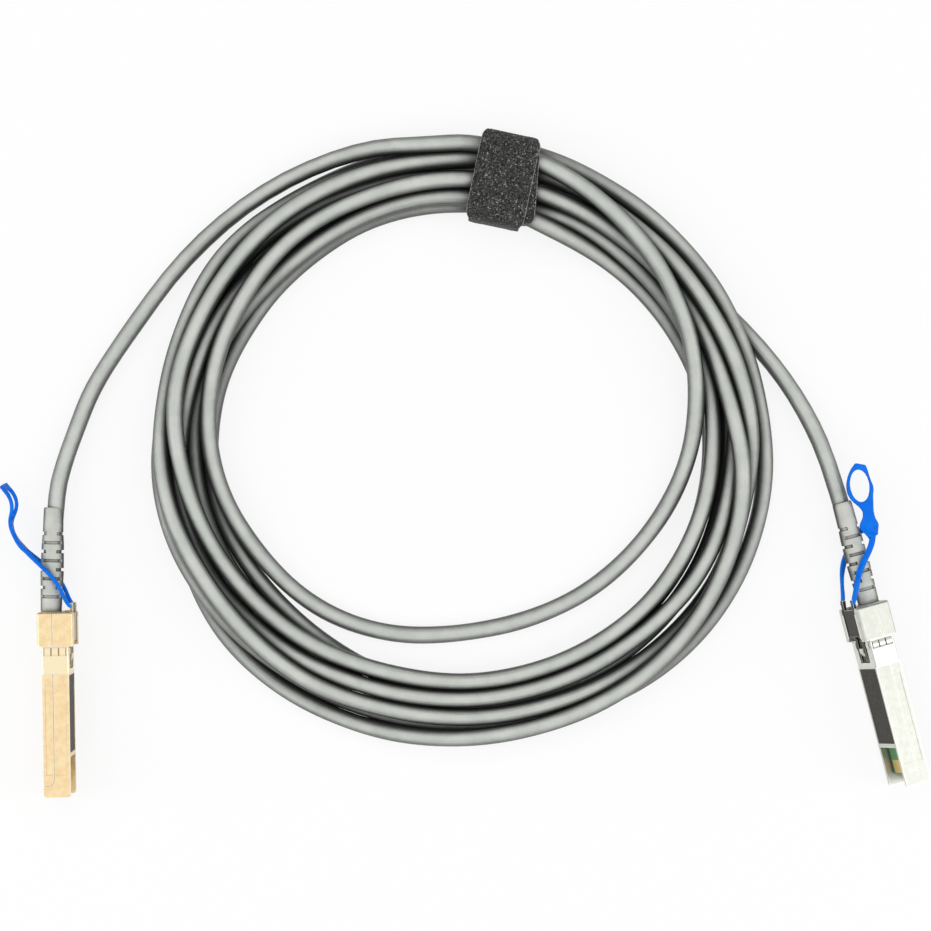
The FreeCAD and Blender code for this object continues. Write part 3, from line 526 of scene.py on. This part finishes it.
def strap_line():
    """Middle of the strap, and the way out of the bundle, as a rounded rectangle.

    A point runs along the four sides of a core and turns a quarter at each corner. The strap
    stands off from the core by the bend, half its thickness, and a whole thickness more on its
    second lap.
    """
    inner, outer = STRAP_INSIDE
    low, high = STRAP_THICK + STRAP_LIFT, COIL_TOP
    wide, tall = outer - inner - 2 * STRAP_BEND, high - low - 2 * STRAP_BEND
    bend = (STRAP_BEND + STRAP_THICK) * math.pi / 2
    marks = np.cumsum([0, tall, bend, wide, bend, tall, bend, wide, bend])
    core_r = np.array([1, 1, 1, 0, 0, 0, 0, 1, 1]) * wide + inner + STRAP_BEND
    core_z = np.array([0, 1, 1, 1, 1, 0, 0, 0, 0]) * tall + low + STRAP_BEND
    facing = np.array([0, 0, 1, 1, 2, 2, 3, 3, 4]) * math.pi / 2
    lap = marks[-1]
    s = np.arange(0, lap + marks[5], STRAP_STEP)
    facing_here = np.interp(s % lap, marks, facing)
    out = np.stack([np.cos(facing_here), np.sin(facing_here)], 1)
    second = np.clip((s - lap + bend) / (2 * bend), 0, 1) ** 2
    stand_off = STRAP_BEND + STRAP_THICK * (0.5 + LAYER_GAP * second)
    across = np.stack([np.interp(s % lap, marks, core_r), np.interp(s % lap, marks, core_z)], 1)
    return s, across + stand_off[:, None] * out, out, np.clip((s - marks[6]) / wide, 0, 1)


def pile(rows, columns, seed=11):
    """Relief of looped pile: random heights, each evened with its neighbours, from -1 to 1."""
    height = np.random.default_rng(seed).uniform(-1, 1, (rows, columns))
    return 0.6 * height + 0.4 * (np.roll(height, 1, 0) + np.roll(height, 1, 1))


s, across, out, second_lap = strap_line()
round_edge = 2 * np.pi * np.arange(BAND_SIDES) / BAND_SIDES
profile_w = STRAP_WIDTH / 2 * np.sign(np.cos(round_edge)) * np.abs(np.cos(round_edge)) ** SQUARENESS
profile_n = STRAP_THICK / 2 * np.sign(np.sin(round_edge)) * np.abs(np.sin(round_edge)) ** SQUARENESS
relief = PILE_RELIEF * pile(len(s), len(round_edge))
reach = np.hypot(profile_w, profile_n)
profile_w = profile_w[None] * (1 + relief / reach)
profile_n = profile_n[None] + relief * np.sign(profile_n)[None]
profile_w = profile_w * (1 - BEND_TAPER * np.abs(out[:, :1]) ** 3)
place, way = (np.radians(STRAP_LAYERS[0][k] + (STRAP_LAYERS[1][k] - STRAP_LAYERS[0][k])
                         * second_lap)[:, None] for k in (0, 1))
middle = sum(STRAP_INSIDE) / 2
from_middle = across[:, :1] - middle + profile_n * out[:, :1]
strap_points = np.stack([
    COIL_CENTRE[0] + middle * np.cos(place) + from_middle * np.cos(way) - profile_w * np.sin(way),
    COIL_CENTRE[1] + middle * np.sin(place) + from_middle * np.sin(way) + profile_w * np.cos(way),
    across[:, 1:] + profile_n * out[:, 1:]], -1)
strap = grid_mesh("hook_and_loop_strap", strap_points, closed_v=True, caps=True,
                  uv=(s * MM, np.arange(BAND_SIDES + 1) / BAND_SIDES))
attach(strap, "base")
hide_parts("cable_strap")
inside = centre_line[np.linalg.norm(centre_line[:, :2] - strap_points[..., :2].mean((0, 1)), axis=1) < 16]
ray = np.array([np.cos(way[0, 0]), np.sin(way[0, 0])])
start = COIL_CENTRE + middle * np.array([np.cos(place[0, 0]), np.sin(place[0, 0])])
local = np.stack([(inside[:, :2] - start) @ ray, (inside[:, :2] - start) @ [-ray[1], ray[0]]], 1)
under = np.abs(local[:, 1]) < STRAP_WIDTH / 2
print(f"strap: {s[-1]:.0f} mm long, {len(strap.data.polygons)} faces; the turns under it reach "
      f"{middle + local[under, 0].min() - CORD_DIAMETER / 2:.1f} to "
      f"{middle + local[under, 0].max() + CORD_DIAMETER / 2:.1f} mm out and "
      f"{inside[under, 2].min() - CORD_DIAMETER / 2:.1f} to "
      f"{inside[under, 2].max() + CORD_DIAMETER / 2:.1f} mm up")

# %% [markdown]
# ## The strap's finish
#
# The pile is a tangle of dark nylon loops. Pale flecks are painted where a loop would turn
# towards the light, and painted shade makes it nearly black between the loops. Cells from a
# Voronoi pattern give the loops, a finer noise breaks them up, and the cut edges of the band are
# paler.

# %% Pile
nap = Finish("looped_pile")
tangle = nap.node("ShaderNodeTexVoronoi", {"feature": "F1"},
                  {"Vector": nap.where(), "Scale": 1300, "Randomness": 1.0}, 0)
thread = nap.noise(2300, 3, 0.65)
painted_glint = nap.noise(1400, 2, 0.5).band(0.53, 0.66) * thread.band(0.47, 0.62)
edge_at = (nap.node("ShaderNodeSeparateXYZ", (), {0: nap.where("UV")}, 1) * (2 * math.pi)
           + math.pi / 2).wave()
rim = (edge_at * edge_at).band(0.80, 0.97)
loops = nap.blend(thread.band(0.36, 0.66), (0.012, 0.012, 0.011), (0.115, 0.115, 0.108))
# Painted shade: nearly black between the loops.
loops = nap.blend(tangle.band(0.35, 0.9) * 0.6, loops, (0.012, 0.012, 0.012))
# Painted glints: pale flecks where a loop would catch the light, with the paler cut edges of the band.
loops = nap.blend((painted_glint + rim * thread.band(0.34, 0.54) * 0.9).band(0.0, 1.0), loops, (0.44, 0.44, 0.42))
nap.surface(Base_Color=loops, Roughness=0.93, Specular_IOR_Level=0.2, Sheen_Weight=0.15,
            Sheen_Roughness=0.5,
            Normal=nap.bump(thread, 0.0004, 0.7, nap.bump(1 - tangle, 0.0003, 0.6)))
paint(nap.material, strap)

# %% [markdown]
# ## Places on a plug
#
# The plugs lie turned and rolled, so a pattern that follows a plug needs the plug's own axes.
# A dot product with each axis gives them in millimetres: along it from the cord, across its
# broad faces, and through it, with the latch on the low side.

# %% Axes of the plugs
PLUGS = {   # place, then the three axes
    "left": ((-128.4, -47.0, 7.1), (0.01571, -0.99988, 0), (0, 0, 1), (-0.99988, -0.01571, 0)),
    "right": ((126.3, -44.8, 8.46), (0.25207, -0.96771, 0), (-0.29100, -0.07580, -0.95372),
              (0.92292, 0.24040, -0.30071)),
}
# The recess on the latch side is painted dark, as shade.
SHADED_RECESS = {"along": (19.9, 44.4), "across": 5.9, "depth": 3.95}   # recess on the latch side


def plug_axes(finish, side):
    """Along, across and through one plug, in millimetres."""
    place, *axes = PLUGS[side]
    where = finish.where()
    return [finish.node("ShaderNodeVectorMath", {"operation": "DOT_PRODUCT"},
                        {0: where, 1: tuple(1000 * a for a in axis)}, "Value")
            - float(np.dot(place, axis)) for axis in axes]


def edge_highlight(finish, distance=0.0004):
    """Near 1 on outer edges, where a pale highlight is painted: light sent into the solid soon meets its
    other face there.
    """
    deep = finish.node("ShaderNodeAmbientOcclusion", {"samples": 8, "inside": True},
                       {"Distance": distance}, 1)
    return (1 - deep).band(0.12, 0.6)


def open_to_air(finish, distance):
    """1 on open faces, and less in corners and grooves: the mask for painted shade."""
    return finish.node("ShaderNodeAmbientOcclusion", {"samples": 8}, {"Distance": distance}, 1)


# %% [markdown]
# ## Plated castings
#
# The shells are zinc castings with a satin nickel plate. The skin of the die leaves a fine
# grit, and plugging in leaves rubs along the plug. Painted shade darkens the seams and corners,
# and a pale highlight is painted along the outer edges, where the plate is also smoother. In the
# recess on the latch side, painted shade makes a dark patch that isn't metallic.

# %% Shells
def plated(side, name, plate, pale, shade, rough, thick=0.0004, shade_recess=True):
    """Satin plate: cloudy tint, rubs along the plug, a painted highlight on the edges and painted shade in
    the grooves.
    """
    f = Finish(f"{side}_{name}")
    along, across, through = plug_axes(f, side)
    stretched = f.node("ShaderNodeCombineXYZ", (), {0: along * 0.06, 1: across, 2: through})
    rub = f.noise(2.6, 4, 0.6, stretched)
    cloud = f.noise(420, 5, 0.6)
    grit = f.noise(4200, 2)
    edge, open_face = edge_highlight(f, thick), open_to_air(f, 0.0012)
    metal = f.blend(cloud.band(0.32, 0.68), plate, pale)
    metal = f.blend(rub.band(0.5, 0.75) * 0.35, metal, pale)
    # Painted shade in seams, corners and grooves.
    metal = f.blend(open_face.band(0.35, 0.95), shade, metal)
    # Painted highlight along the outer edges.
    metal = f.blend(edge * 0.85, metal, (0.95, 0.94, 0.88))
    colour, metallic = metal, 1.0
    roughness = rough + cloud * 0.12 + rub * 0.10 - edge * 0.10
    # Painted shade: a dark patch, not metallic, in the recess on the latch side.
    if shade_recess:
        start, end = SHADED_RECESS["along"]
        in_shaded_recess = (along.band(start, start + 0.2) * (1 - along.band(end - 0.2, end))
                    * (1 - (across * across).band((SHADED_RECESS["across"] - 0.2) ** 2, SHADED_RECESS["across"] ** 2))
                    * (through * -1).band(SHADED_RECESS["depth"], SHADED_RECESS["depth"] + 0.08)
                    * (1 - (through * -1).band(4.6, 4.7)))
        recess_shade = f.blend(f.noise(900, 4, 0.7).band(0.35, 0.7), (0.013, 0.011, 0.007),
                        (0.042, 0.036, 0.022))
        colour = f.blend(in_shaded_recess, metal, recess_shade)
        metallic = 1 - in_shaded_recess
        roughness = roughness + in_shaded_recess * 0.2
    f.surface(Base_Color=colour, Roughness=roughness, Metallic=metallic,
              Normal=f.bump(grit, 0.00002, 0.5, f.bump(rub, 0.00004, 0.35)))
    return f.material


# %% [markdown]
# ## Small metal, card and plastics
#
# The collar is smooth spring steel. The latch slide, its springs and the pins are duller and
# darker. The card edge is green solder mask over copper tracks, and its contacts are gold.

# %% Small parts
def steel(side, name, dark, light, rough):
    """Drawn steel: fine lines, painted shade in its corners and a painted highlight on its edges."""
    f = Finish(f"{side}_{name}")
    along, across, through = plug_axes(f, side)
    lines = f.noise(5.0, 3, 0.6, f.node("ShaderNodeCombineXYZ", (),
                                        {0: along * 0.1, 1: across, 2: through}))
    edge, open_face = edge_highlight(f, 0.00025), open_to_air(f, 0.0015)
    # Painted shade in the corners.
    metal = f.blend(open_face.band(0.3, 0.95), tuple(0.3 * c for c in dark), dark)
    # Painted highlight on the edges, together with the paler drawn lines.
    metal = f.blend((edge + lines.band(0.58, 0.75) * 0.3).band(0.0, 1.0), metal, light)
    f.surface(Base_Color=metal, Metallic=1.0, Roughness=rough + lines * 0.15,
              Normal=f.bump(lines, 0.00003, 0.4))
    return f.material


def solder_mask(side):
    """Green lacquer: the tracks beneath it show as paler stripes with rounded sides."""
    f = Finish(f"{side}_solder_mask")
    along, across, through = plug_axes(f, side)
    tracks = ((across + (along * 0.9).wave() * 0.12) * 7.8).wave().band(0.1, 0.7)
    speck = f.noise(2600, 3)
    green = f.blend(tracks * 0.55, (0.045, 0.20, 0.055), (0.13, 0.40, 0.14))
    green = f.blend(speck.band(0.55, 0.8) * 0.3, green, (0.22, 0.48, 0.20))
    f.surface(Base_Color=green, Roughness=0.30 + speck * 0.15, Specular_IOR_Level=0.5,
              Normal=f.bump(tracks, 0.00003, 0.6))
    return f.material


def gold_plate(side):
    """Gold contacts: rubbed where they slide in, so paler and scratched along the plug."""
    f = Finish(f"{side}_gold_plate")
    along, across, through = plug_axes(f, side)
    scratch = f.noise(9.0, 3, 0.6, f.node("ShaderNodeCombineXYZ", (),
                                          {0: along * 0.05, 1: across, 2: through}))
    gold = f.blend(scratch.band(0.4, 0.7), (0.85, 0.52, 0.15), (0.93, 0.72, 0.36))
    f.surface(Base_Color=gold, Metallic=1.0, Roughness=0.24 + scratch * 0.2,
              Normal=f.bump(scratch, 0.00001, 0.4))
    return f.material


def moulded_chip(side):
    """Black moulding compound: matt, with fine pale filler grains."""
    f = Finish(f"{side}_chip_moulding")
    grain = f.noise(7000, 2)
    f.surface(Base_Color=f.blend(grain.band(0.5, 0.8), (0.012, 0.012, 0.014), (0.05, 0.05, 0.052)),
              Roughness=0.55 + grain * 0.2, Normal=f.bump(grain, 0.00002, 0.6))
    return f.material


def wire_foam(side):
    """Insulation of the signal wires: milky, a little yellowed in patches."""
    f = Finish(f"{side}_wire_insulation")
    patch = f.noise(500, 3)
    f.surface(Base_Color=f.blend(patch.band(0.35, 0.7), (0.74, 0.74, 0.71), (0.66, 0.63, 0.55)),
              Roughness=0.42 + patch * 0.15,
              Normal=f.bump(f.noise(3000, 2), 0.00002, 0.4))
    return f.material


# %% [markdown]
# ## Rubber boots and pull tabs
#
# The boots are moulded rubber. Their colour is painted light: pale where the surface faces up
# and lies open, and painted shade in the slots. The pull tabs are soft blue plastic, cast in one
# colour, with a fine matt skin, faint flow marks and a pale highlight painted on their edges.

# %% Boots and tabs
def rubber(side):
    """Grey rubber: a pale highlight painted where the surface faces up and lies open, and painted black
    shade in the slots.
    """
    f = Finish(f"{side}_boot_rubber")
    up = f.node("ShaderNodeSeparateXYZ", (), {0: f.where("Normal")}, 2)
    cloud, skin = f.noise(220, 4, 0.6), f.noise(3200, 3)
    # Painted light: pale where the surface faces up and lies open, painted black shade in the slots.
    painted_highlight = (up + cloud * 0.25 - 0.12).band(0.30, 0.88) * open_to_air(f, 0.0022).band(0.25, 0.9)
    grey = f.blend(cloud.band(0.3, 0.7), (0.58, 0.60, 0.54), (0.69, 0.70, 0.64))
    f.surface(Base_Color=f.blend(painted_highlight, (0.014, 0.015, 0.014), grey), Roughness=0.42 + cloud * 0.15,
              Specular_IOR_Level=0.4, Normal=f.bump(skin, 0.00005, 0.5))
    return f.material


def tab_plastic(side):
    """Blue plastic: flow marks across the pull, a fine skin, and a pale highlight painted on the thin
    edges.
    """
    f = Finish(f"{side}_tab_plastic")
    flow, skin = f.noise(300, 3, 0.5), f.noise(5200, 2)
    blue = f.blend(flow.band(0.35, 0.7), (0.0, 0.175, 0.88), (0.0, 0.215, 0.96))
    # Painted highlight on the thin edges.
    blue = f.blend(edge_highlight(f) * 0.35, blue, (0.02, 0.42, 1.0))
    f.surface(Base_Color=blue, Roughness=0.46 + skin * 0.15, Specular_IOR_Level=0.15,
              Normal=f.bump(skin, 0.00002, 0.5))
    return f.material


# %% [markdown]
# ## Soft edges on the tabs
#
# The CAD solids of the tabs are straight runs with sharp edges. The real tabs are moulded in
# soft plastic, with every edge rounded. Small voxels and a few rounds of smoothing melt the
# solid's corners and leave its line, so the modifiers do what would be slow to draw.

# %% Softened tabs
VOXEL = 0.22 * MM
for side in PLUGS:
    tab = frame["nodes"][f"{side}_pull_tab"]
    remesh = tab.modifiers.new("voxels", "REMESH")
    remesh.mode, remesh.voxel_size, remesh.use_smooth_shade = "VOXEL", VOXEL, True
    melt = tab.modifiers.new("melt", "SMOOTH")
    melt.factor, melt.iterations = 0.5, 22
print(f"tabs: voxels of {VOXEL / MM:.2f} mm, smoothed {melt.iterations} times")

# %% [markdown]
# ## The return springs
#
# A pull on a tab draws its slide back, and the spring behind the slide shortens: one end stays
# on the shell's seat and the other follows the slide. Here each spring is a copy of the CAD
# mesh, with its loose triangles joined up.

# %% Return springs
springs = {}
for side, (place, along, *_) in PLUGS.items():
    mesh = frame["nodes"][f"{side}_return_spring"].data.copy()
    joined = bmesh.new()
    joined.from_mesh(mesh)
    bmesh.ops.remove_doubles(joined, verts=joined.verts, dist=1e-7)
    joined.to_mesh(mesh)
    joined.free()
    spring = bpy.data.objects.new(f"{side}_spring_coil", mesh)
    bpy.context.scene.collection.objects.link(spring)
    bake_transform(spring)
    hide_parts(f"{side}_return_spring")
    springs[side] = spring
    print(f"{side} spring: {len(mesh.vertices)} corners, {len(mesh.polygons)} faces")

# %% [markdown]
# ## Dressing the CAD nodes
#
# Each CAD node names its material slot, and gets the finish for that slot and side. The two plugs
# are painted in different colours for the light each one gets: the plate, collar and latch steel
# of the left one warm and light, and of the right one neutral and darker.

# %% Painting
# Painted light and shade: the left plug's colours are warm and light, and the right plug's are neutral and
# darker.
PLATE = {   # plate, pale, shade
    "left": ((0.84, 0.62, 0.34), (0.91, 0.74, 0.46), (0.46, 0.27, 0.11)),
    "right": ((0.56, 0.57, 0.52), (0.64, 0.65, 0.59), (0.30, 0.28, 0.22)),
}
COLLAR = {"left": (0.86, 0.76, 0.55), "right": (0.70, 0.70, 0.65)}
STEEL = {"left": ((0.40, 0.36, 0.26), (0.93, 0.92, 0.78)),
         "right": ((0.035, 0.030, 0.022), (0.90, 0.88, 0.80))}
made = {}
for side in PLUGS:
    plate, pale, shade = PLATE[side]
    made |= {
        (side, "shell_metal"): plated(side, "nickel_plate", plate, pale, shade, 0.30),
        (side, "collar_metal"): plated(side, "spring_collar", pale, COLLAR[side], shade,
                                       0.20, thick=0.00012, shade_recess=False),
        (side, "bright_steel"): steel(side, "latch_steel", *STEEL[side], 0.28),
        (side, "card_green"): solder_mask(side),
        (side, "contact_gold"): gold_plate(side),
        (side, "chip_black"): moulded_chip(side),
        (side, "wire_insulation"): wire_foam(side),
        (side, "boot_rubber"): rubber(side),
        (side, "tab_blue"): tab_plastic(side),
    }
painted = {}
for side, spring in springs.items():
    paint(made[side, "bright_steel"], spring)
for name, piece in frame["nodes"].items():
    slot = piece.data.materials[0].name if piece.data.materials else ""
    side = name.split("_")[0]
    finish = made.get((side, slot), jacket.material if slot == "cord_jacket" else nap.material)
    paint(finish, piece)
    painted.setdefault(finish.name, []).append(name)
for finish_name, names in painted.items():
    print(f"{finish_name}: {', '.join(names)}")

# %% [markdown]
# ## Floor and light
#
# The cable lies on a plain pale floor under one large soft lamp, with a small one on each side
# to show the plugs' edges. The floor looks white to the camera and in metal because it glows
# for those rays, and it keeps the cable's soft shadow.

# %% Floor and light
FLOOR_SIZE = 3000          # from its middle to an edge
FLOOR_GLOW = 1.04
GLOW_SHARE = 0.8           # the rest of the floor's brightness comes from the lamps
SKY = 0.12


def plane(name, size, height):
    """A level square: two rows of two corners, size out from the middle."""
    return grid_mesh(name, np.array([[[-size, -size, height], [size, -size, height]],
                                     [[-size, size, height], [size, size, height]]], float))


floor_piece = plane("floor", FLOOR_SIZE, 0)
ground = Finish("pale_floor")
seen = ground.node("ShaderNodeLightPath", (), (), "Is Camera Ray")
seen = seen.maximum(ground.node("ShaderNodeLightPath", (), (), "Is Glossy Ray"))
seen = seen.maximum(ground.node("ShaderNodeLightPath", (), (), "Is Transmission Ray"))
glow = ground.node("ShaderNodeEmission", (), {"Color": (1, 1, 1), "Strength": FLOOR_GLOW})
ground.surface(Base_Color=(0.9, 0.9, 0.9), Roughness=0.9)
lit = Signal(ground, ground.shader.outputs[0])
mixed = ground.node("ShaderNodeMixShader", (), {0: seen * GLOW_SHARE, 1: lit, 2: glow})
ground.tree.links.new(mixed.socket, ground.tree.nodes["Material Output"].inputs[0])
paint(ground.material, floor_piece)

world = bpy.data.worlds.new("studio")
bpy.context.scene.world = world
world.use_nodes = True
world.node_tree.nodes["Background"].inputs[0].default_value = (1, 1, 1, 1)
world.node_tree.nodes["Background"].inputs[1].default_value = SKY


def softbox(name, place, size, power):
    """A rectangular lamp that faces the coil."""
    lamp = bpy.data.lights.new(name, "AREA")
    lamp.shape, lamp.size, lamp.size_y, lamp.energy = "RECTANGLE", *size, power
    holder = bpy.data.objects.new(name, lamp)
    holder.location = place
    holder.rotation_euler = (-Vector(place)).to_track_quat("-Z", "Y").to_euler()
    bpy.context.scene.collection.objects.link(holder)


softbox("overhead_softbox", (0.0, 0.0, 1.5), (3.2, 3.2), 32)
for side, x in (("left", -1.35), ("right", 1.35)):
    softbox(f"{side}_softbox", (x, -0.1, 0.62), (0.5, 1.3), 6)
bpy.context.scene.view_settings.view_transform = "Standard"
print(f"light: a lamp overhead, {len(PLUGS)} at the sides, and a sky of {SKY}")
